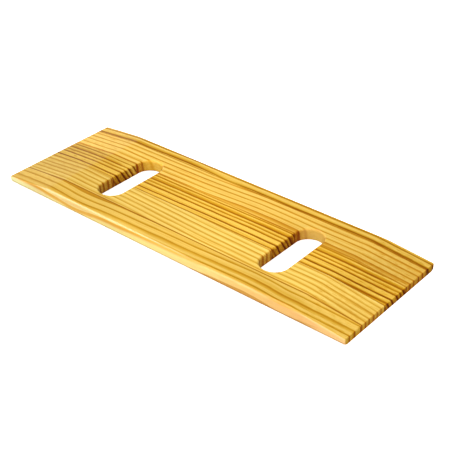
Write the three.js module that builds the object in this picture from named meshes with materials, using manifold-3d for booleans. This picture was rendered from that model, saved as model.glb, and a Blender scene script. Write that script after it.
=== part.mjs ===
// Transfer board: a solid pine sliding board with two hand slots, edge-glued from five staves.
//
// Millimetres, +Z up. X runs along the board, Y across it, and the origin is at the middle of the
// flat underside. The top face is flat in the middle and has a long bevel down to each end.
// The two slots cut the middle stave into three separate pieces, so the board is seven pieces of
// wood, held together by the lengths of glue between them.

import * as THREE from 'three';
import * as BufferGeometryUtils from 'three/addons/utils/BufferGeometryUtils.js';
import Module from 'manifold-3d';

// ---- Driving dimensions ----

// The plank: 24 x 8 x 3/4 inches.
const LENGTH = 609.6;
const WIDTH = 203.2;
const THICKNESS = 19.05;

// The bevel on the top face at each end, the thickness that it leaves at the end face, and the
// radius that softens the line where it begins.
const BEVEL_LENGTH = 82.55;
const END_THICKNESS = 11.1;
const BLEND_RADIUS = 60;

// Rounding of the plank's edges. The bevels cut away most of the rounding of the long top edges,
// and their own long edges are only eased.
const TOP_EDGE_RADIUS = 4;
const BEVEL_EDGE_RADIUS = 2;
const BOTTOM_EDGE_RADIUS = 6.35;
const END_EDGE_RADIUS = 1.5;
const CORNER_RADIUS = 2.5;

// The hand slots, which lie across the board and have round ends.
const SLOT_WIDTH = 41.3;
const SLOT_LENGTH = 115.8;
const SLOT_RIM_RADIUS = 3.5;
const SLOT_PITCH = 299.2;
const SLOT_PAIR_CENTRE = { x: -0.8, y: 0.6 };

// The staves: all inner ones have the same width, and the edge staves take what is left.
const STAVE_WIDTH = 49.2;
const FIRST_JOINT_Y = -66.2;
const JOINT_COUNT = 4;
const GLUE_THICKNESS = 0.2;

// Worked out from those: how steep the bevels are.
const BEVEL_ANGLE = Math.atan((THICKNESS - END_THICKNESS) / BEVEL_LENGTH);

// Fineness of the curved faces.
const EDGE_SEGMENTS = 8;
const OUTLINE_SEGMENTS = 3;
const SLOT_END_SEGMENTS = 40;
const RIM_SEGMENTS = 4;

// A cutter runs this far past the face that it cuts, and its arcs end this far outside it.
const OVERRUN = 3;
const CLEAR = 0.04;
const MERGE_TOLERANCE = 1e-5;

// ---- Solids ----

const wasm = await Module();
wasm.setup();

// The closed solid of a three.js geometry. Triangles that merging has closed up, such as those at
// the axis of a lathe, are left out.
function solid(geometry) {
  const bare = geometry.clone();
  bare.deleteAttribute('normal');
  bare.deleteAttribute('uv');
  const merged = BufferGeometryUtils.mergeVertices(bare, MERGE_TOLERANCE);
  const corners = merged.index.array;
  const kept = [];
  for (let i = 0; i < corners.length; i += 3) {
    const [a, b, c] = corners.slice(i, i + 3);
    if (a !== b && b !== c && c !== a) {
      kept.push(a, b, c);
    }
  }
  return new wasm.Manifold(new wasm.Mesh({
    numProp: 3,
    vertProperties: merged.attributes.position.array,
    triVerts: new Uint32Array(kept),
  }));
}

// The three.js geometry of a solid.
function geometryOf(body) {
  const mesh = body.getMesh();
  const geometry = new THREE.BufferGeometry();
  geometry.setAttribute('position', new THREE.BufferAttribute(mesh.vertProperties, 3));
  geometry.setIndex(new THREE.BufferAttribute(mesh.triVerts, 1));
  geometry.computeVertexNormals();
  return geometry;
}

// A box between two corners.
function box(low, high) {
  const size = new THREE.Vector3().subVectors(high, low);
  const middle = new THREE.Vector3().addVectors(low, high).multiplyScalar(0.5);
  const geometry = new THREE.BoxGeometry(size.x, size.y, size.z);
  return solid(geometry.translate(middle.x, middle.y, middle.z));
}

// A shape drawn in X and Z, extruded across the board from y = from to y = to.
function extrudeAcross(shape, from, to, curveSegments) {
  const depth = to - from;
  const geometry = new THREE.ExtrudeGeometry(shape, { depth, bevelEnabled: false, curveSegments });
  return geometry.rotateX(Math.PI / 2).translate(0, to, 0);
}

// ---- The plank ----

// The plank seen from its long side: flat below, flat on top between the bevels, and eased ends.
function sideOutline() {
  const ease = END_EDGE_RADIUS;
  const easeX = LENGTH / 2 - ease;
  const easeZ = END_THICKNESS + ease * Math.tan(BEVEL_ANGLE) - ease / Math.cos(BEVEL_ANGLE);
  const blendX = LENGTH / 2 - BEVEL_LENGTH - BLEND_RADIUS * Math.tan(BEVEL_ANGLE / 2);
  const blendZ = THICKNESS - BLEND_RADIUS;
  const up = Math.PI / 2;
  const shape = new THREE.Shape();
  shape.absarc(-easeX, ease, ease, 2 * up, 3 * up, false);
  shape.absarc(easeX, ease, ease, 3 * up, 4 * up, false);
  shape.absarc(easeX, easeZ, ease, 0, up - BEVEL_ANGLE, false);
  shape.absarc(blendX, blendZ, BLEND_RADIUS, up - BEVEL_ANGLE, up, false);
  shape.absarc(-blendX, blendZ, BLEND_RADIUS, up, up + BEVEL_ANGLE, false);
  shape.absarc(-easeX, easeZ, ease, up + BEVEL_ANGLE, 2 * up, false);
  return shape;
}

// What a router takes off a square edge to leave a round one. The edge is at the origin, and the
// board is on the side of negative x and negative y.
function edgeCutterShape(radius) {
  const arcCentre = CLEAR - radius;
  const shape = new THREE.Shape();
  shape.absarc(arcCentre, arcCentre, radius, Math.PI / 2, 0, true);
  shape.lineTo(OVERRUN, arcCentre);
  shape.lineTo(OVERRUN, OVERRUN);
  shape.lineTo(arcCentre, OVERRUN);
  return shape;
}

// The same cutter turned so that it lies in a plane across the board, on the front or rear edge.
function turned(shape, signX, signY) {
  const points = shape.getPoints(EDGE_SEGMENTS);
  return new THREE.Shape(points.map((point) => new THREE.Vector2(signX * point.x, signY * point.y)));
}

// A cutter as long as the plank for an edge that runs along it. Side is -1 for the front and 1 for
// the rear, and level is -1 for a lower edge and 1 for an upper one.
function longEdgeCutter(radius, side, level) {
  const shape = turned(edgeCutterShape(radius), side, level);
  const depth = LENGTH + 2 * OVERRUN;
  const geometry = new THREE.ExtrudeGeometry(shape, { depth, bevelEnabled: false });
  geometry.rotateX(Math.PI / 2).rotateZ(Math.PI / 2);
  return geometry.translate(-depth / 2, side * WIDTH / 2, 0);
}

function bottomEdgeCutter(side) {
  return solid(longEdgeCutter(BOTTOM_EDGE_RADIUS, side, -1));
}

function topEdgeCutter(side) {
  return solid(longEdgeCutter(TOP_EDGE_RADIUS, side, 1).translate(0, 0, THICKNESS));
}

// The same cutter laid along the long edge of one bevel.
function bevelEdgeCutter(end, side) {
  const tilted = longEdgeCutter(BEVEL_EDGE_RADIUS, side, 1).rotateY(end * BEVEL_ANGLE);
  return solid(tilted.translate(end * LENGTH / 2, 0, END_THICKNESS));
}

// A cutter for one upright corner of the plank.
function cornerCutter(end, side) {
  const shape = turned(edgeCutterShape(CORNER_RADIUS), end, side);
  const depth = THICKNESS + 2 * OVERRUN;
  const geometry = new THREE.ExtrudeGeometry(shape, { depth, bevelEnabled: false });
  return solid(geometry.translate(end * LENGTH / 2, side * WIDTH / 2, -OVERRUN));
}

// ---- The hand slots ----

// Half the width of a slot at each height: straight in the middle, flared at both rims.
function slotHalfProfile() {
  const wall = SLOT_WIDTH / 2;
  const rim = SLOT_RIM_RADIUS;
  const lip = wall + rim;
  const path = new THREE.Path();
  path.moveTo(lip, -OVERRUN);
  path.lineTo(lip, -CLEAR);
  path.absarc(lip, rim - CLEAR, rim, 1.5 * Math.PI, Math.PI, true);
  path.absarc(lip, THICKNESS - rim + CLEAR, rim, Math.PI, Math.PI / 2, true);
  path.lineTo(lip, THICKNESS + OVERRUN);
  return path.getPoints(RIM_SEGMENTS);
}

// One slot: a straight run across the board between two round ends.
function slotCutter(centreX, centreY) {
  const half = slotHalfProfile();
  const mirrored = half.map((point) => new THREE.Vector2(-point.x, point.y)).reverse();
  const reach = (SLOT_LENGTH - SLOT_WIDTH) / 2;
  const run = extrudeAcross(new THREE.Shape([...half, ...mirrored]), -reach, reach);
  const onAxis = [
    new THREE.Vector2(0, -OVERRUN),
    ...half,
    new THREE.Vector2(0, THICKNESS + OVERRUN),
  ];
  const roundEnd = new THREE.LatheGeometry(onAxis, SLOT_END_SEGMENTS).rotateX(Math.PI / 2);
  let cutter = solid(run.translate(centreX, centreY, 0));
  for (const side of [-1, 1]) {
    cutter = cutter.add(solid(roundEnd.clone().translate(centreX, centreY + side * reach, 0)));
  }
  return cutter;
}

const slotXs = [-SLOT_PITCH / 2, SLOT_PITCH / 2].map((x) => x + SLOT_PAIR_CENTRE.x);

// The whole board as one solid, before it is parted into staves.
function board() {
  let body = solid(extrudeAcross(sideOutline(), -WIDTH / 2, WIDTH / 2, OUTLINE_SEGMENTS));
  for (const side of [-1, 1]) {
    body = body.subtract(topEdgeCutter(side)).subtract(bottomEdgeCutter(side));
    for (const end of [-1, 1]) {
      body = body.subtract(bevelEdgeCutter(end, side)).subtract(cornerCutter(end, side));
    }
  }
  for (const x of slotXs) {
    body = body.subtract(slotCutter(x, SLOT_PAIR_CENTRE.y));
  }
  return body;
}

// ---- Staves and glue lines ----

// Where each stretch of the board lies along X, for the pieces that the slots part in three.
const PAST_END = LENGTH / 2 + OVERRUN;
const WHOLE = { from: -PAST_END, to: PAST_END };
const THIRDS = {
  left: { from: -PAST_END, to: slotXs[0] },
  centre: { from: slotXs[0], to: slotXs[1] },
  right: { from: slotXs[1], to: PAST_END },
};

const whole = board();

// The part of the board inside one stretch along X and one strip across Y.
function cutOut(stretch, fromY, toY) {
  const low = new THREE.Vector3(stretch.from, fromY, -OVERRUN);
  const high = new THREE.Vector3(stretch.to, toY, THICKNESS + OVERRUN);
  return geometryOf(whole.intersect(box(low, high)));
}

const jointYs = Array.from({ length: JOINT_COUNT }, (_, i) => FIRST_JOINT_Y + i * STAVE_WIDTH);
const halfGlue = GLUE_THICKNESS / 2;
const staveEdges = [-WIDTH / 2 - OVERRUN, ...jointYs, WIDTH / 2 + OVERRUN];

// The front and rear limits of a stave, counted from the front edge.
function staveStrip(index) {
  const atFrontEdge = index === 0;
  const atRearEdge = index === JOINT_COUNT;
  const from = staveEdges[index] + (atFrontEdge ? 0 : halfGlue);
  const to = staveEdges[index + 1] - (atRearEdge ? 0 : halfGlue);
  return [from, to];
}

function glueStrip(index) {
  return [jointYs[index] - halfGlue, jointYs[index] + halfGlue];
}

// ---- Materials ----

const WOOD_COLOURS = {
  front_edge: 0xe6bf6b,
  front_inner: 0xdcb25c,
  middle: 0xc99440,
  rear_inner: 0xe0b75f,
  rear_edge: 0xcf9c48,
};

function wood(stave) {
  return new THREE.MeshStandardMaterial({ color: WOOD_COLOURS[stave], roughness: 0.45, metalness: 0 });
}

const glue = new THREE.MeshStandardMaterial({ color: 0xb98a3e, roughness: 0.5, metalness: 0 });

// ---- The assembly ----

const transferBoard = new THREE.Group();

function addPiece(name, geometry, material) {
  const mesh = new THREE.Mesh(geometry, material);
  mesh.name = name;
  transferBoard.add(mesh);
}

function addStave(name, index, stretch, colour) {
  addPiece(name, cutOut(stretch, ...staveStrip(index)), wood(colour));
}

function addGlueLine(name, index, stretch) {
  addPiece(name, cutOut(stretch, ...glueStrip(index)), glue);
}

addStave('front_edge_stave', 0, WHOLE, 'front_edge');
addStave('front_inner_stave', 1, WHOLE, 'front_inner');
for (const [place, stretch] of Object.entries(THIRDS)) {
  addStave(`middle_stave_${place}`, 2, stretch, 'middle');
}
addStave('rear_inner_stave', 3, WHOLE, 'rear_inner');
addStave('rear_edge_stave', 4, WHOLE, 'rear_edge');

addGlueLine('front_edge_glue_line', 0, WHOLE);
for (const [place, stretch] of Object.entries(THIRDS)) {
  addGlueLine(`front_inner_glue_line_${place}`, 1, stretch);
  addGlueLine(`rear_inner_glue_line_${place}`, 2, stretch);
}
addGlueLine('rear_edge_glue_line', 3, WHOLE);

export default transferBoard;
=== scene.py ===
"""Looks of the transfer board: seven pine staves with procedural grain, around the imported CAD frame.

Everything is in metres in the CAD frame. X runs along the board, Y across it, and Z is up.
"""

import math

import bmesh
import bpy
from mathutils import Matrix, Vector


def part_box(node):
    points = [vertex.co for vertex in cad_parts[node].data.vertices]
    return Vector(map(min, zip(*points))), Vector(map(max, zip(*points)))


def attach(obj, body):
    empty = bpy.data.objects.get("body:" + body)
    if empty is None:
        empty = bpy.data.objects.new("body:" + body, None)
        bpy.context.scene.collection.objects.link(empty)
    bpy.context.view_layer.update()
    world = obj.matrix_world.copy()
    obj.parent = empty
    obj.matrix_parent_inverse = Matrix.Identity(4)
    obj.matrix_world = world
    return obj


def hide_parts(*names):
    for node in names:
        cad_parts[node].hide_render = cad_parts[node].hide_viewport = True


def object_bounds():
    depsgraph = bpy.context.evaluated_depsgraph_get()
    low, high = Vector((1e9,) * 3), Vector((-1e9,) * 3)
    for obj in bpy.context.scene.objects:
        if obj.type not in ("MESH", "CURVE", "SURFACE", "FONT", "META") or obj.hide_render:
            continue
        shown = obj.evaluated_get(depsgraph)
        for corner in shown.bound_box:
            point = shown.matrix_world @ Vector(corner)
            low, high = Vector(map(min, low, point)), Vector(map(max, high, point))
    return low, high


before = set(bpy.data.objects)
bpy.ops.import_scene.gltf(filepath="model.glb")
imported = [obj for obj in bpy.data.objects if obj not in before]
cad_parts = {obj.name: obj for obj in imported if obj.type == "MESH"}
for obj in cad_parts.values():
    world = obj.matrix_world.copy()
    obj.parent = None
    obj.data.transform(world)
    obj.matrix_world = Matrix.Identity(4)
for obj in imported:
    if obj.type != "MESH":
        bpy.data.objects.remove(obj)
CAD_LOW, CAD_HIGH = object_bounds()

# ---- Sizes ----

MM = 0.001
HALF_LENGTH = CAD_HIGH.x
HALF_WIDTH = CAD_HIGH.y
THICKNESS = CAD_HIGH.z
BEVEL_LENGTH = 82.55 * MM
END_THICKNESS = 11.1 * MM
BLEND = 2.9 * MM  # the bevel's first line is softened over this far on both sides of it
FLAT_HALF = HALF_LENGTH - BEVEL_LENGTH - BLEND  # the top is level this far from the middle
TOP_RADIUS = 4 * MM
BEVEL_EDGE_RADIUS = 2 * MM
BOTTOM_RADIUS = 6.35 * MM
HAND_SANDING = 0.15  # how much the bevels' edge radius varies, as a part of it
END_EASE = 1.5 * MM
CORNER_RADIUS = 2.5 * MM
SLOT_LENGTH = 115.8 * MM
SLOT_Y = 0.6 * MM
RIM_RADIUS = 3.5 * MM

ARC_STEPS = 12
END_STEPS = 8
BEVEL_STEPS = 9
BLEND_STEPS = 6
FLAT_STEPS = 16
SLOT_END_STEPS = 40
SHARP_ANGLE = math.radians(30)
ROUNDING_ERROR = 1e-9

FLOOR_RADIUS = 12.0  # of the flat part; outside it the floor curves up into a wall
FLOOR_SIDES = 64
FLOOR_GLOW = 0.8
COVE_RADIUS = 5.0
COVE_STEPS = 8
WALL_HEIGHT = 24.0

# The camera stands where the photograph was taken from. Its angles are in radians.
CAMERA_PLACE = (0.82856, -0.91349, 0.7972)
CAMERA_AZIMUTH = 0.71677
CAMERA_ELEVATION = 0.57621
CAMERA_ROLL = -0.0196
LENS = 83.53  # mm, for a picture 36 mm wide
SENSOR_WIDTH = 36


# ---- The board's surface ----


def top_height(x):
    """Height of the top face at x: level in the middle, with a long bevel at each end."""
    slope = (THICKNESS - END_THICKNESS) / BEVEL_LENGTH
    past = abs(x) - (HALF_LENGTH - BEVEL_LENGTH)
    if past <= -BLEND:
        return THICKNESS
    if past < BLEND:
        return THICKNESS - slope * (past + BLEND) ** 2 / (4 * BLEND)
    return THICKNESS - slope * past


def rounded(distance, radius):
    """How far a round edge stands back from its square corner, at a distance from the corner."""
    return radius - math.sqrt(radius**2 - max(radius - distance, 0) ** 2)


def hand_sanded(x):
    """A slow change along the board, from -1 to 1, in how much was sanded off its long edges."""
    return 0.6 * math.sin(31 * x + 0.7) + 0.4 * math.sin(83 * x + 2.1)


def side_profile(x):
    """The rounded side of the board at x, as (distance in from the side, height), upwards."""
    angles = [math.pi / 2 * i / ARC_STEPS for i in range(ARC_STEPS + 1)]
    points = [(BOTTOM_RADIUS * (1 - math.sin(a)), BOTTOM_RADIUS * (1 - math.cos(a))) for a in angles]
    top = top_height(x)
    eased = BEVEL_EDGE_RADIUS * (1 + HAND_SANDING * hand_sanded(x))
    for a in angles:
        inset = TOP_RADIUS * (1 - math.cos(a))
        under_edge = THICKNESS - rounded(inset, TOP_RADIUS)
        points.append((inset, min(under_edge, top - rounded(inset, eased))))
    return points


def section(x):
    """The board's outline across X at x: the front side upwards, and the rear side upwards."""
    from_end = HALF_LENGTH - abs(x)
    narrower = rounded(from_end, CORNER_RADIUS)
    middle = top_height(x) / 2
    flatter = 1 - rounded(from_end, END_EASE) / middle
    sides = []
    for sign in (-1, 1):
        side = []
        for inset, z in side_profile(x):
            y = sign * (HALF_WIDTH - inset - narrower)
            side.append(Vector((x, y, middle + (z - middle) * flatter)))
        sides.append(side)
    return sides


def stations():
    """Where along X the board's outline is worked out: closest at the ends and the bevels' starts."""
    from_end = [CORNER_RADIUS * (1 - math.cos(math.pi / 2 * i / END_STEPS)) for i in range(END_STEPS)]
    from_end.append(END_EASE)
    crease = BEVEL_LENGTH - BLEND
    bevel = crease - CORNER_RADIUS
    from_end += [CORNER_RADIUS + bevel * i / BEVEL_STEPS for i in range(BEVEL_STEPS + 1)]
    from_end += [crease + 2 * BLEND * i / BLEND_STEPS for i in range(1, BLEND_STEPS + 1)]
    xs = [HALF_LENGTH - d for d in from_end]
    xs += [FLAT_HALF * (i / FLAT_STEPS) for i in range(1, FLAT_STEPS)]
    return sorted([-x for x in xs] + [0.0] + xs)


def quads_between(bm, lower, upper):
    """Quads between two rows of vertices of the same length."""
    for i in range(len(lower) - 1):
        bm.faces.new((lower[i], lower[i + 1], upper[i + 1], upper[i]))


def slot_outline(x, width, offset):
    """The outline of a slot, this far outside its walls: two straight sides and two round ends."""
    radius = width / 2 + offset
    reach = (SLOT_LENGTH - width) / 2
    points = []
    for start, sign in ((0, 1), (math.pi, -1)):
        for i in range(SLOT_END_STEPS + 1):
            a = start + math.pi * i / SLOT_END_STEPS
            points.append((x + radius * math.cos(a), SLOT_Y + sign * reach + radius * math.sin(a)))
    return points


def slot_profile():
    """A slot's wall from the top face to the underside, as (distance outside the wall, height)."""
    angles = [math.pi / 2 * i / ARC_STEPS for i in range(ARC_STEPS + 1)]
    rim = [(RIM_RADIUS * (1 - math.sin(a)), RIM_RADIUS * (1 - math.cos(a))) for a in angles]
    return [(out, THICKNESS - down) for out, down in rim] + [(out, up) for out, up in reversed(rim)]


def add_slot(bm, x, width):
    """Adds a slot's wall, and returns the edges where it meets the top face and the underside."""
    rows = []
    for offset, z in slot_profile():
        rows.append([bm.verts.new((px, py, z)) for px, py in slot_outline(x, width, offset)])
    for lower, upper in zip(rows[:-1], rows[1:]):
        quads_between(bm, lower + lower[:1], upper + upper[:1])
    return loop_edges(bm, rows[0] + rows[0][:1]), loop_edges(bm, rows[-1] + rows[-1][:1])


def loop_edges(bm, verts):
    """The edges between neighbours in a row of vertices, made where they are missing."""
    pairs = zip(verts[:-1], verts[1:])
    return [bm.edges.get(pair) or bm.edges.new(pair) for pair in pairs]


def board_mesh(slots):
    """The whole board as one closed mesh. Each slot is (x of its middle, width)."""
    bm = bmesh.new()
    xs = stations()
    front, rear = [], []
    for x in xs:
        for row, side in zip((front, rear), section(x)):
            row.append([bm.verts.new(point) for point in side])
    for row in (front, rear):
        for here, there in zip(row[:-1], row[1:]):
            quads_between(bm, here, there)
    for end in (0, -1):
        bm.faces.new(front[end] + rear[end][::-1])
    flat_top = [i for i, x in enumerate(xs) if abs(x) <= FLAT_HALF + ROUNDING_ERROR]
    under_half = HALF_LENGTH - END_EASE
    flat_under = [i for i, x in enumerate(xs) if abs(x) <= under_half + ROUNDING_ERROR]
    slot_edges = [add_slot(bm, *slot) for slot in slots]
    for flat, level, which in ((flat_top, -1, 0), (flat_under, 0, 1)):
        for i in range(len(xs) - 1):
            if i not in flat or i + 1 not in flat:
                corners = (front[i], front[i + 1], rear[i + 1], rear[i])
                bm.faces.new([corner[level] for corner in corners])
        around = [front[i][level] for i in flat] + [rear[i][level] for i in reversed(flat)]
        edges = loop_edges(bm, around + around[:1])
        for pair in slot_edges:
            edges += pair[which]
        bmesh.ops.triangle_fill(bm, edges=edges, use_beauty=True)
    bmesh.ops.recalc_face_normals(bm, faces=bm.faces)
    return bm


def cut(bm, at, normal):
    """Cuts off what is beyond a plane, and closes the mesh where it was cut."""
    geometry = bm.verts[:] + bm.edges[:] + bm.faces[:]
    bmesh.ops.bisect_plane(
        bm, geom=geometry, dist=1e-7, plane_co=at, plane_no=normal, clear_outer=True
    )
    open_edges = [edge for edge in bm.edges if edge.is_boundary]
    if open_edges:
        bmesh.ops.edgenet_fill(bm, edges=open_edges)


def shade_smooth(bm):
    """Smooth faces, with a sharp edge wherever two of them meet at a clear angle."""
    for face in bm.faces:
        face.smooth = True
    for edge in bm.edges:
        edge.smooth = edge.calc_face_angle(math.pi) < SHARP_ANGLE


def stave(board, node, material):
    """One stave: the part of the board's mesh inside the box of its CAD node."""
    low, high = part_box(node)
    piece = board.copy()
    if low.y > -HALF_WIDTH + MM:
        cut(piece, (0, low.y, 0), (0, -1, 0))
    if high.y < HALF_WIDTH - MM:
        cut(piece, (0, high.y, 0), (0, 1, 0))
    if low.x > -HALF_LENGTH + MM:
        cut(piece, (low.x - MM, 0, 0), (-1, 0, 0))
    if high.x < HALF_LENGTH - MM:
        cut(piece, (high.x + MM, 0, 0), (1, 0, 0))
    bmesh.ops.recalc_face_normals(piece, faces=piece.faces)
    shade_smooth(piece)
    mesh = bpy.data.meshes.new(node + "_wood")
    piece.to_mesh(mesh)
    piece.free()
    obj = bpy.data.objects.new(node + "_wood", mesh)
    bpy.context.scene.collection.objects.link(obj)
    normals = obj.modifiers.new("normals", "WEIGHTED_NORMAL")
    normals.keep_sharp = True
    mesh.materials.append(material)
    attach(obj, "root")
    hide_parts(node)
    return obj


# ---- Materials ----

# The pine's places and lengths are in mm.

STAIN_STOPS = 9
STAIN_RANGE = 2.0  # the most latewood that a colour is worked out for
RINGS_PER_RAMP = 5
RING_CORE = 0.5  # half the width of the darkest part of a ring
RING_ELBOW = 0.35  # a ring fades fast over this part of its fade, and slowly over the rest
RING_ELBOW_LEVEL = 0.4  # how dark it still is there, as a part of its darkness
BEND_RANGE = 25.0  # the most that a ring can bend, each way
TONE_RANGE = (0.6, 1.4)
JOINT_CORE = 0.4  # half the width of a joint's dark line
JOINT_FADE = 1.3  # where the dark line ends
# End grain nearer the middle of the board than this is the wall of a slot.
SLOT_WALLS = (200, 180)
# End grain darkens more towards the underside: painted shade.
END_GRAIN_SHADE_HEIGHTS = (10, 1)  # the heights between which end grain darkens towards the underside
# The tint of the painted shade on the rounded lower edges, where they face down.
LOWER_EDGE_SHADE_TINT = (0.82, 0.6, 0.42, 1.0)

SIDE_LEAN = 0.64  # how much more the rings lean where they come out of a face towards the front
# The rings in the board's front side face, as (place, how far it fades below, colour).
SIDE_RINGS = [(-101.2, 6.0, (0.80, 0.40, 0.065)), (-113.6, 6.0, (0.66, 0.30, 0.065))]
SIDE_RING_CORE = 2.5  # a ring has its full colour this far down from its place
SIDE_RINGS_END = (275, 230)  # the rings fade away between these places, near the right end
# Painted shade: the wood above the first side ring, over the near top rounding, is tinted darker, as
# that rounding catches more light.
UPPER_SHADE_TINT = (0.9, 0.77, 0.84, 1.0)  # of the wood above the first ring


class Graph:
    """A shader node tree, built from short calls."""

    def __init__(self, name):
        self.material = bpy.data.materials.new(name)
        self.material.use_nodes = True
        self.tree = self.material.node_tree
        self.tree.nodes.clear()

    def node(self, kind, inputs, **settings):
        """Adds a node. Each input is a value, or an output of another node to link to it."""
        made = self.tree.nodes.new(kind)
        for key, value in settings.items():
            setattr(made, key, value)
        for key, value in inputs.items():
            if isinstance(value, bpy.types.NodeSocket):
                self.tree.links.new(value, made.inputs[key])
            else:
                made.inputs[key].default_value = value
        return made

    def math(self, operation, a, b=0.0, clamp=False):
        made = self.node("ShaderNodeMath", {0: a, 1: b}, operation=operation, use_clamp=clamp)
        return made.outputs[0]

    def add(self, a, b):
        return self.math("ADD", a, b)

    def times(self, a, b):
        return self.math("MULTIPLY", a, b)

    def scaled(self, value, low, high):
        """A value from 0 to 1, stretched so that it runs from low to high."""
        inputs = {"Value": value, "To Min": low, "To Max": high}
        return self.node("ShaderNodeMapRange", inputs, clamp=False).outputs[0]

    def step(self, value, low, high):
        """0 below low and 1 above high, with a smooth rise between them."""
        inputs = {"Value": value, "From Min": low, "From Max": high}
        return self.node("ShaderNodeMapRange", inputs, interpolation_type="SMOOTHSTEP").outputs[0]

    def vector(self, x, y, z):
        return self.node("ShaderNodeCombineXYZ", {0: x, 1: y, 2: z}).outputs[0]

    def noise(self, vector, detail=2.0, roughness=0.5):
        inputs = {"Vector": vector, "Scale": 1.0, "Detail": detail, "Roughness": roughness}
        return self.node("ShaderNodeTexNoise", inputs).outputs["Fac"]

    def curve(self, value, points, low, high):
        """A smooth curve through (place, height) points. Places run along the board, in mm."""
        half = HALF_LENGTH / MM
        inputs = {0: value, 1: 0.5 / half, 2: 0.5}
        place = self.node("ShaderNodeMath", inputs, operation="MULTIPLY_ADD").outputs[0]
        made = self.node("ShaderNodeFloatCurve", {"Value": place})
        line = made.mapping.curves[0]
        while len(line.points) < len(points):
            line.points.new(0.5, 0.5)
        for point, (x, y) in zip(line.points, points):
            point.location = (0.5 + 0.5 * x / half, (y - low) / (high - low))
        made.mapping.update()
        return self.scaled(made.outputs[0], low, high)

    def ramp(self, value, stops):
        """A colour that follows (place, colour) stops, of which the first and last are the range."""
        first, last = stops[0][0], stops[-1][0]
        inputs = {"Value": value, "From Min": first, "From Max": last}
        place = self.node("ShaderNodeMapRange", inputs).outputs[0]
        made = self.node("ShaderNodeValToRGB", {"Fac": place})
        elements = made.color_ramp.elements
        while len(elements) < len(stops):
            elements.new(0.5)
        for element, (at, colour) in zip(elements, stops):
            element.position = (at - first) / (last - first)
            element.color = (*colour, 1)
        return made.outputs["Color"]

    def mix(self, factor, a, b, blend="MIX"):
        inputs = {"Factor": factor, 6: a, 7: b}
        made = self.node("ShaderNodeMix", inputs, data_type="RGBA", blend_type=blend)
        return made.outputs[2]


def stained(early, absorbed, amount):
    """The colour of wood with this amount of latewood: it absorbs most of the blue and least red."""
    return tuple(level * math.exp(-take * amount) for level, take in zip(early, absorbed))


def ring_stops(rings):
    """Latewood across a stave, as greys. Each ring is (place, fade below, fade above, darkness)."""
    stops = []
    for place, below, above, dark in rings:
        low, high = place - RING_CORE, place + RING_CORE
        elbow = dark * RING_ELBOW_LEVEL
        stops += [(low - below, 0.0), (low - below * RING_ELBOW, elbow), (low, dark)]
        stops += [(high, dark), (high + above * RING_ELBOW, elbow), (high + above, 0.0)]
    return [(at, (level, level, level)) for at, level in stops]


def stretched(g, point, along, around):
    """A point in the wood for a noise that is long in the grain: more turns are finer detail."""
    x, y, z = point
    return g.vector(g.times(x, along), g.times(y, around), g.times(z, around))


def soft_spot(g, x, y, spot):
    """1 at the middle of a soft oval (x, y, half length, half width), falling to 0 around it."""
    dx = g.math("DIVIDE", g.math("SUBTRACT", x, spot[0]), spot[2])
    dy = g.math("DIVIDE", g.math("SUBTRACT", y, spot[1]), spot[3])
    square = g.add(g.times(dx, dx), g.times(dy, dy))
    return g.math("POWER", math.e, g.times(square, -1.0))


def grain_place(g, point, bends, tilt):
    """How far across the grain a point is: the rings bend along the board and lean through it."""
    x, y, z = point
    depth = g.math("SUBTRACT", THICKNESS / MM, z)
    across = g.math("SUBTRACT", y, g.curve(x, bends, -BEND_RANGE, BEND_RANGE))
    across = g.math("SUBTRACT", across, g.times(depth, tilt))
    slow = g.noise(stretched(g, point, 0.016, 0.05))
    quick = g.noise(stretched(g, point, 0.05, 0.4))
    across = g.add(across, g.scaled(slow, -1.1, 1.1))
    return g.add(across, g.scaled(quick, -0.5, 0.5))


def ring_pattern(g, x, across, rings):
    """The latewood of the rings, which is stronger in some lengths of the stave than in others."""
    ring = 0.0
    for first in range(0, len(rings), RINGS_PER_RAMP):
        ramp = g.ramp(across, ring_stops(rings[first : first + RINGS_PER_RAMP]))
        ring = g.math("MAXIMUM", ring, ramp)
    strength = g.noise(g.vector(g.times(x, 0.013), g.times(across, 0.12), 0.0))
    return g.times(ring, g.scaled(strength, 0.7, 1.25))


def stain_colour(g, amount, early, absorbed):
    """The colour for an amount of latewood from 0 to STAIN_RANGE."""
    amounts = [STAIN_RANGE * i / (STAIN_STOPS - 1) for i in range(STAIN_STOPS)]
    return g.ramp(amount, [(level, stained(early, absorbed, level)) for level in amounts])


def side_colour(g, colour, point, across, front, fibre, side, side_cover):
    """The colour, with tones and rings of its own on a face that faces the front (front is 1); on the
    board's side face the pale cream of the tones is partly a painted sheen of the floor.
    """
    x, _, z = point
    streaks = g.scaled(fibre, 0.62, 1.34)
    # The side tones are partly the wood's own and partly painted sheen: their pale cream stands in for
    # the floor mirrored in the lacquer.
    face = g.mix(1.0, g.ramp(x, side), g.vector(1.0, streaks, streaks), "MULTIPLY")
    depth = g.math("SUBTRACT", THICKNESS / MM, z)
    place = g.math("SUBTRACT", across, g.times(depth, SIDE_LEAN))
    first = SIDE_RINGS[0][0]
    # Painted shade over the near top rounding, above the first ring.
    upper = g.step(place, first, first + 1.0)
    face = g.mix(upper, face, g.mix(1.0, face, UPPER_SHADE_TINT, "MULTIPLY"))
    for at, fade, tone in SIDE_RINGS:
        below = g.math("SUBTRACT", at, place)
        ring = g.times(g.step(below, -0.3, 0.3), g.step(below, fade, SIDE_RING_CORE))
        face = g.mix(g.times(ring, g.step(x, *SIDE_RINGS_END)), face, tone + (1,))
    cover = g.times(g.step(front, 0.1, 0.65), side_cover)
    return g.mix(cover, colour, face)


def wood_place(g):
    """The place in the board that is shaded, in mm."""
    place = g.node("ShaderNodeTexCoord", {}).outputs["Object"]
    split = g.node("ShaderNodeSeparateXYZ", {0: place}).outputs
    return [g.times(split[i], 1 / MM) for i in range(3)]


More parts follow.
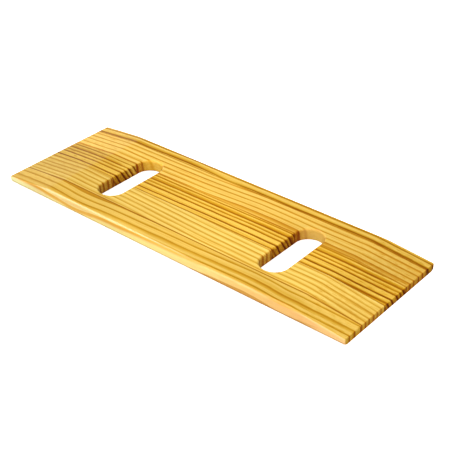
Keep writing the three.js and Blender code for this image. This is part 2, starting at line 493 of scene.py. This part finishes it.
def latewood(g, point, across, ring, band, fibre, spots, joints):
    """How much latewood and stain there is: in the rings, in finer streaks, and in single places."""
    x, y, z = point
    in_grain = (x, across, z)
    dash = g.step(g.noise(stretched(g, in_grain, 0.13, 2.6), 1.0), 0.70, 0.80)
    line = g.step(g.noise(stretched(g, in_grain, 0.005, 0.8), 1.0), 0.60, 0.72)
    amount = g.add(ring, g.scaled(band, -0.16, 0.26))
    amount = g.add(amount, g.scaled(fibre, -0.22, 0.22))
    amount = g.add(amount, g.times(dash, 0.3))
    amount = g.add(amount, g.times(line, 0.3))
    for *spot, more in spots:
        amount = g.add(amount, g.times(soft_spot(g, x, across, spot), more))
    for joint, more in joints:
        away = g.math("ABSOLUTE", g.math("SUBTRACT", y, joint))
        near = g.math("SUBTRACT", 1.0, g.step(away, JOINT_CORE, JOINT_FADE))
        amount = g.add(amount, g.times(near, g.scaled(band, 0.5 * more, 1.5 * more)))
    return amount


def end_grain_and_slot_shade(g, amount, point, facing_x, end_grain, fibre):
    """End grain drinks the lacquer, so it is darker and its rings stand out more.

    The slots' walls are darker still: painted shade, for the shade inside the slots. End grain also
    darkens more towards the underside, which is painted shade too.
    """
    x, _, z = point
    amount = g.times(amount, g.scaled(end_grain, 1.0, 2.0))
    # Painted shade: the slots' walls are darkened for the shade inside the slots.
    slot_wall_shade = g.times(g.step(facing_x, 0.7, 1.0), g.step(g.math("ABSOLUTE", x), *SLOT_WALLS))
    amount = g.add(amount, g.times(slot_wall_shade, g.scaled(fibre, -0.3, 0.85)))
    # Painted shade: end grain darkens more towards the underside.
    lower = g.scaled(g.step(z, *END_GRAIN_SHADE_HEIGHTS), 0.15, 0.45)
    return g.add(amount, g.times(end_grain, lower))


def shaded_lower_edge_colour(g, colour, facing_z, band):
    """The colour with painted shade on the rounded lower edges, which are tinted brown where they face
    down, towards the floor.
    """
    downward = g.times(facing_z, -1.0)
    rounding = g.times(g.step(downward, 0.05, 0.6), g.step(downward, 0.995, 0.93))
    # Painted shade: the rounding that faces down is darkened brown, more in some lengths than in
    # others.
    lower_edge_shade = g.math("MULTIPLY", rounding, g.scaled(band, 0.3, 1.1), clamp=True)
    return g.mix(lower_edge_shade, colour, g.mix(1.0, colour, LOWER_EDGE_SHADE_TINT, "MULTIPLY"))


def pine(name, early, absorbed, rings, tilt, bends, spots, joints, tone, side=None, side_cover=0.8):
    """Lacquered pine. The grain is a solid pattern, so it runs through every face of a stave.

    early is the colour of the palest wood, and absorbed is how much red, green and blue the
    latewood takes out of it. rings are at the middle of the top face, lean by tilt through the
    thickness, and follow bends, which are (place along the board, shift across it). spots are soft
    ovals that are browner or paler, as (x, y, half length, half width, amount). joints are straight
    dark lines along the board, as (y, amount): glued edges, where the lacquer has darkened, and a
    few like them in the wood. tone is how bright the stave is, as (place along the board, level):
    partly the wood's own tone, and partly painted light and shade for lengths of the board that the
    light leaves darker or brighter, such as the bevels. side is the colours of what faces the front,
    as (place, colour): the board's side face, or the slots' rear ends. On the side face their pale
    cream is partly a painted sheen of the floor.
    """
    g = Graph(name)
    point = wood_place(g)
    x, _, z = point
    across = grain_place(g, point, bends, tilt)
    in_grain = (x, across, z)
    ring = ring_pattern(g, x, across, rings)
    band = g.noise(stretched(g, in_grain, 0.006, 0.35), 2.0, 0.6)
    fibre = g.noise(stretched(g, in_grain, 0.02, 1.5), 3.0, 0.6)
    thread = g.noise(stretched(g, in_grain, 0.06, 5.0))
    cloud = g.noise(stretched(g, point, 0.011, 0.045), 3.0)
    normal = g.node("ShaderNodeNewGeometry", {}).outputs["Normal"]
    facing = g.node("ShaderNodeSeparateXYZ", {0: normal}).outputs
    facing_x = g.math("ABSOLUTE", facing[0])
    end_grain = g.step(facing_x, 0.35, 1.0)

    amount = latewood(g, point, across, ring, band, fibre, spots, joints)
    amount = end_grain_and_slot_shade(g, amount, point, facing_x, end_grain, fibre)
    colour = stain_colour(g, amount, early, absorbed)
    if side:
        front = g.times(facing[1], -1.0)
        colour = side_colour(g, colour, point, across, front, fibre, side, side_cover)
    colour = shaded_lower_edge_colour(g, colour, facing[2], band)
    shade = g.times(g.scaled(cloud, 0.87, 1.13), g.scaled(thread, 0.95, 1.05))
    # The tone along the board is partly painted light and shade.
    shade = g.times(shade, g.curve(x, tone, *TONE_RANGE))
    colour = g.mix(1.0, colour, g.vector(shade, shade, shade), "MULTIPLY")

    # The lacquer follows the grain a little.
    relief = g.add(g.times(ring, 0.5), g.times(fibre, 0.7))
    relief = g.add(relief, g.times(thread, 0.35))
    bump = g.node("ShaderNodeBump", {"Height": relief, "Strength": 0.5, "Distance": 0.06 * MM})
    rough = g.add(g.scaled(cloud, 0.24, 0.4), g.times(end_grain, 0.2))
    shader = g.node("ShaderNodeBsdfPrincipled", {
        "Base Color": colour, "Roughness": rough, "Normal": bump.outputs[0],
        "Coat Weight": 0.5, "Coat Roughness": 0.13, "Specular IOR Level": 0.12,
        "Specular Tint": (1.0, 0.8, 0.4, 1.0),
    })
    g.node("ShaderNodeOutputMaterial", {0: shader.outputs[0]})
    return g.material


def glue_material():
    """Cured glue under the lacquer: amber, with darker and paler lengths. Its noise is in metres."""
    g = Graph("wood_glue_line")
    place = g.node("ShaderNodeTexCoord", {}).outputs["Object"]
    x, _, z = g.node("ShaderNodeSeparateXYZ", {0: place}).outputs
    lengths = g.noise(g.vector(g.times(x, 40.0), 0.0, g.times(z, 300.0)))
    specks = g.noise(g.vector(g.times(x, 900.0), 0.0, g.times(z, 900.0)))
    amount = g.math("ADD", g.scaled(lengths, -0.3, 0.9), g.scaled(specks, -0.2, 0.5), clamp=True)
    colour = g.mix(amount, (0.20, 0.075, 0.01, 1), (0.38, 0.17, 0.03, 1))
    bump = g.node("ShaderNodeBump", {"Height": specks, "Strength": 0.4, "Distance": 0.03 * MM})
    shader = g.node("ShaderNodeBsdfPrincipled", {
        "Base Color": colour, "Roughness": g.scaled(lengths, 0.35, 0.6), "Normal": bump.outputs[0],
        "Specular IOR Level": 0.12,
    })
    g.node("ShaderNodeOutputMaterial", {0: shader.outputs[0]})
    return g.material


# ---- Staves ----

LOOKS = {
    "front_edge": dict(
        early=(0.78, 0.515, 0.105), absorbed=(0.54, 1.02, 3.35), tilt=0.08,
        rings=[
            (-100.6, 1, 2.5, 0.75), (-88.8, 6, 1.5, 0.78), (-77.4, 1.2, 3, 0.8), (-66.0, 1.2, 6, 0.85),
        ],
        bends=[
            (-305, -0.8), (-255, -1.0), (-205, -3.3), (-165, -6), (-112, -2.7), (-50, -0.8), (0, 0.7),
            (50, 1.6), (100, 4), (150, 5.4), (172, 4.7), (205, 2.2), (232, 2.7), (270, 5.6), (305, 7.4),
        ],
        spots=[
            (-170, -61.2, 50, 3.5, 0.5), (200, -88, 60, 5, 0.2), (160, -105, 80, 4, 0.35),
            (-285, -99, 25, 2.5, 0.25),
        ],
        joints=[(-66.3, 1.2)],
        tone=[
            (-305, 0.95), (-265, 0.95), (-198, 0.95), (0, 1.03), (198, 0.955), (265, 0.97), (305, 0.97),
        ],
        side=[
            (-305, (1.0, 0.95, 0.48)), (-240, (0.98, 0.84, 0.36)), (-160, (0.97, 0.80, 0.29)),
            (-60, (0.95, 0.77, 0.27)), (90, (0.98, 0.72, 0.26)), (150, (0.96, 0.62, 0.21)),
            (240, (0.94, 0.53, 0.20)), (305, (1.0, 0.60, 0.25)),
        ],
    ),
    "front_inner": dict(
        early=(0.88, 0.63, 0.15), absorbed=(0.55, 1.1, 2.7), tilt=0.05,
        rings=[
            (-67, 1, 4, 0.50), (-58.5, 1.2, 3, 0.69), (-49.5, 2, 3, 0.6), (-41.5, 1.5, 2.5, 0.64),
            (-31.3, 4.5, 1.5, 0.65), (-24, 1.5, 3, 0.50), (-15.8, 1, 3, 0.50),
        ],
        bends=[
            (-305, 5.3), (-225, 6), (-185, 4.9), (-115, 3.9), (-75, 2.5), (-50, 1.3), (0, -0.8),
            (50, -2.3), (100, -3.3), (150, -4.2), (200, -3.9), (232, -4.9), (262, -6.5), (305, -9.3),
        ],
        spots=[(-260, -40, 90, 30, 0.1), (300, -40, 60, 30, 0.12)],
        joints=[(-66.1, 1.15)],
        tone=[
            (-305, 0.875), (-265, 0.875), (-198, 0.885), (0, 0.985), (198, 1.0), (265, 0.92),
            (305, 0.92),
        ],
    ),
    "middle": dict(
        early=(0.88, 0.57, 0.095), absorbed=(0.9, 1.65, 6.0), tilt=0.5,
        rings=[
            (-33, 1, 5, 0.88), (-24.5, 1, 5, 0.88), (-15.9, 2, 3, 0.45), (-6.9, 1, 2.5, 1.3),
            (4.7, 1, 3, 1.06), (12.3, 1.2, 3, 0.65), (19.4, 1.2, 6, 1.00), (29.4, 1.5, 2, 0.8),
        ],
        bends=[
            (-305, -4.5), (-250, -3.4), (-200, -4), (-175, -3.6), (-125, -2), (-75, -1.4), (0, -0.4),
            (60, 0.3), (120, 0), (200, 0.5), (240, 0), (305, 0.6),
        ],
        spots=[
            (60, 25, 150, 3, 0.1), (300, 8, 100, 25, 0.08), (268, -6.5, 45, 1.6, 0.35),
            (270, -16.2, 45, 2.2, 0.7), (-172, 22, 15, 10, -0.35),
        ],
        joints=[(-16.5, 0.45)],
        tone=[
            (-305, 0.81), (-265, 0.81), (-198, 0.87), (0, 1.03), (198, 0.955), (265, 0.85), (305, 0.85),
        ],
    ),
    "rear_inner": dict(
        early=(0.89, 0.60, 0.13), absorbed=(0.6, 1.3, 3.6), tilt=0.12,
        rings=[
            (30.5, 1.5, 1.5, 0.75), (40.4, 5, 1.2, 0.69), (49.3, 2, 1.5, 0.62), (60.2, 2, 1.5, 0.69),
            (70.4, 2.5, 1.5, 0.75), (80.2, 2.5, 1.5, 0.62),
        ],
        bends=[
            (-305, -5.3), (-220, -5.5), (-175, -5.6), (-100, -4.9), (-50, -3.6), (0, -1), (45, 2),
            (80, 2.3), (150, 0.8), (200, 0.75), (305, 0.3),
        ],
        spots=[(130, 36, 160, 4, 0.24), (300, 60, 80, 30, 0.1), (-40, 40.4, 45, 2, -0.3)],
        joints=[(33.7, 0.45), (81.3, 0.6)],
        tone=[
            (-305, 1.02), (-265, 1.02), (-198, 0.97), (0, 1.0), (198, 0.84), (265, 0.79), (305, 0.79),
        ],
        side=[
            (-305, (1.0, 0.66, 0.06)), (-150, (1.0, 0.66, 0.05)), (140, (1.0, 0.66, 0.12)),
            (305, (1.0, 0.66, 0.12)),
        ],
        side_cover=0.55,
    ),
    "rear_edge": dict(
        early=(0.88, 0.59, 0.12), absorbed=(1.0, 1.8, 6.5), tilt=0.2,
        rings=[(72, 1, 3, 0.75), (83.4, 1.2, 4, 1.06), (95.2, 1.2, 3, 0.75), (104, 1, 4, 0.75)],
        bends=[
            (-305, -1.2), (-255, 0), (-150, 0.8), (-105, 1.9), (-62, 0.6), (-30, 0.1), (20, 0.4),
            (100, 0.3), (150, 0.3), (230, 0), (305, -1.9),
        ],
        spots=[(-30, 83.6, 34, 2.6, -0.48), (-150, 87.5, 90, 2.5, 0.25), (280, 90, 60, 9, 0.05)],
        joints=[(81.5, 0.6)],
        tone=[
            (-305, 0.975), (-265, 0.975), (-198, 0.93), (0, 0.975), (198, 0.86), (265, 0.82),
            (305, 0.82),
        ],
    ),
}

STAVES = {
    "front_edge_stave": "front_edge",
    "front_inner_stave": "front_inner",
    "middle_stave_left": "middle",
    "middle_stave_centre": "middle",
    "middle_stave_right": "middle",
    "rear_inner_stave": "rear_inner",
    "rear_edge_stave": "rear_edge",
}


def slot_places():
    """The two hand slots, as (x of the middle, width), from the gaps between the middle staves."""
    left, centre, right = [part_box(f"middle_stave_{place}") for place in ("left", "centre", "right")]
    gaps = [(left[1].x, centre[0].x), (centre[1].x, right[0].x)]
    return [((a + b) / 2, b - a) for a, b in gaps]


def build_board():
    """Cuts the board into its staves, and paints them and the CAD's glue lines."""
    board = board_mesh(slot_places())
    materials = {kind: pine(kind + "_lacquered_pine", **look) for kind, look in LOOKS.items()}
    for node, kind in STAVES.items():
        stave(board, node, materials[kind])
    board.free()
    glue = glue_material()
    for name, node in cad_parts.items():
        if "glue_line" in name:
            node.material_slots[0].material = glue


# ---- Floor, light and camera ----


def floor_material():
    """Plain white paint that glows a little, so that it stays white under the soft light."""
    g = Graph("studio_floor")
    place = g.node("ShaderNodeTexCoord", {}).outputs["Object"]
    tone = g.noise(place, 2.0)
    colour = g.mix(tone, (0.93, 0.93, 0.93, 1), (0.95, 0.95, 0.95, 1))
    shader = g.node("ShaderNodeBsdfPrincipled", {
        "Base Color": colour, "Roughness": 0.9, "Specular IOR Level": 0.1,
        "Emission Color": (1, 1, 1, 1), "Emission Strength": FLOOR_GLOW,
    })
    g.node("ShaderNodeOutputMaterial", {0: shader.outputs[0]})
    return g.material


def floor_profile():
    """The floor from its flat middle outwards, as (radius, height): it curves up into a wall."""
    angles = [math.pi / 2 * i / COVE_STEPS for i in range(COVE_STEPS + 1)]
    cove = [(FLOOR_RADIUS + COVE_RADIUS * math.sin(a), COVE_RADIUS * (1 - math.cos(a))) for a in angles]
    return cove + [(FLOOR_RADIUS + COVE_RADIUS, WALL_HEIGHT)]


def add_floor():
    """A wide flat floor just under the board, with a round wall far away that hides the horizon."""
    bm = bmesh.new()
    rows = []
    for radius, z in floor_profile():
        angles = [2 * math.pi * i / FLOOR_SIDES for i in range(FLOOR_SIDES)]
        rows.append([bm.verts.new((radius * math.cos(a), radius * math.sin(a), z)) for a in angles])
    bm.faces.new(rows[0])
    for lower, upper in zip(rows[:-1], rows[1:]):
        quads_between(bm, upper + upper[:1], lower + lower[:1])
    mesh = bpy.data.meshes.new("floor")
    bm.to_mesh(mesh)
    bm.free()
    floor = bpy.data.objects.new("floor", mesh)
    floor.location.z = CAD_LOW.z
    mesh.materials.append(floor_material())
    floor.visible_diffuse = False
    floor.visible_glossy = False
    floor.visible_shadow = False
    bpy.context.scene.collection.objects.link(floor)


def sun(name, direction, spread, strength, shiny=True):
    """A soft light far away in this direction. The lacquer mirrors it only if it is shiny."""
    data = bpy.data.lights.new(name, "SUN")
    data.angle = math.radians(spread)
    data.energy = strength
    light = bpy.data.objects.new(name, data)
    light.rotation_euler = Vector(direction).to_track_quat("Z", "Y").to_euler()
    light.visible_glossy = shiny
    bpy.context.scene.collection.objects.link(light)


def add_softbox():
    """A long softbox that only the lacquer shows, as the white line along the near left edge."""
    data = bpy.data.lights.new("softbox", "AREA")
    data.shape = "RECTANGLE"
    data.size = 0.5
    data.size_y = 0.3
    data.energy = 5.0
    light = bpy.data.objects.new("softbox", data)
    light.location = (-1.08, -0.44, 1.09)
    light.rotation_euler = (math.radians(17.4), 0, 0)
    light.visible_diffuse = False
    bpy.context.scene.collection.objects.link(light)


def add_light():
    """A soft even room, with a key light that the lacquer mirrors and fills that it does not."""
    world = bpy.data.worlds.new("studio")
    bpy.context.scene.world = world
    world.use_nodes = True
    background = world.node_tree.nodes["Background"]
    background.inputs["Color"].default_value = (1, 1, 1, 1)
    background.inputs["Strength"].default_value = 0.5
    world.cycles_visibility.glossy = False
    sun("key", (-0.75, -0.6, 1.0), 45, 1.3)
    sun("top", (0.1, 0.1, 1.0), 70, 1.05, shiny=False)
    sun("front", (0.1, -1.0, 0.2), 60, 1.4, shiny=False)
    sun("side", (1.0, -0.2, 0.15), 50, 1.12, shiny=False)
    sun("haze", (-0.76, 0.56, 0.28), 22, 0.05)
    sun("glint", (-0.93, 0.28, 0.2), 10, 0.14)
    add_softbox()


def add_camera():
    """The photograph's point of view: azimuth and elevation round the board, and a slight roll."""
    back = Vector((
        math.sin(CAMERA_AZIMUTH) * math.cos(CAMERA_ELEVATION),
        -math.cos(CAMERA_AZIMUTH) * math.cos(CAMERA_ELEVATION),
        math.sin(CAMERA_ELEVATION),
    ))
    right = Vector((0, 0, 1)).cross(back).normalized()
    up = back.cross(right)
    turned_right = right * math.cos(CAMERA_ROLL) + up * math.sin(CAMERA_ROLL)
    turned_up = up * math.cos(CAMERA_ROLL) - right * math.sin(CAMERA_ROLL)
    data = bpy.data.cameras.new("camera")
    data.lens = LENS
    data.sensor_width = SENSOR_WIDTH
    camera = bpy.data.objects.new("camera", data)
    turn = Matrix((turned_right, turned_up, back)).transposed().to_4x4()
    camera.matrix_world = Matrix.Translation(CAMERA_PLACE) @ turn
    bpy.context.scene.collection.objects.link(camera)
    bpy.context.scene.camera = camera


build_board()
add_floor()
add_light()
add_camera()
bpy.context.scene.view_settings.view_transform = "Standard"
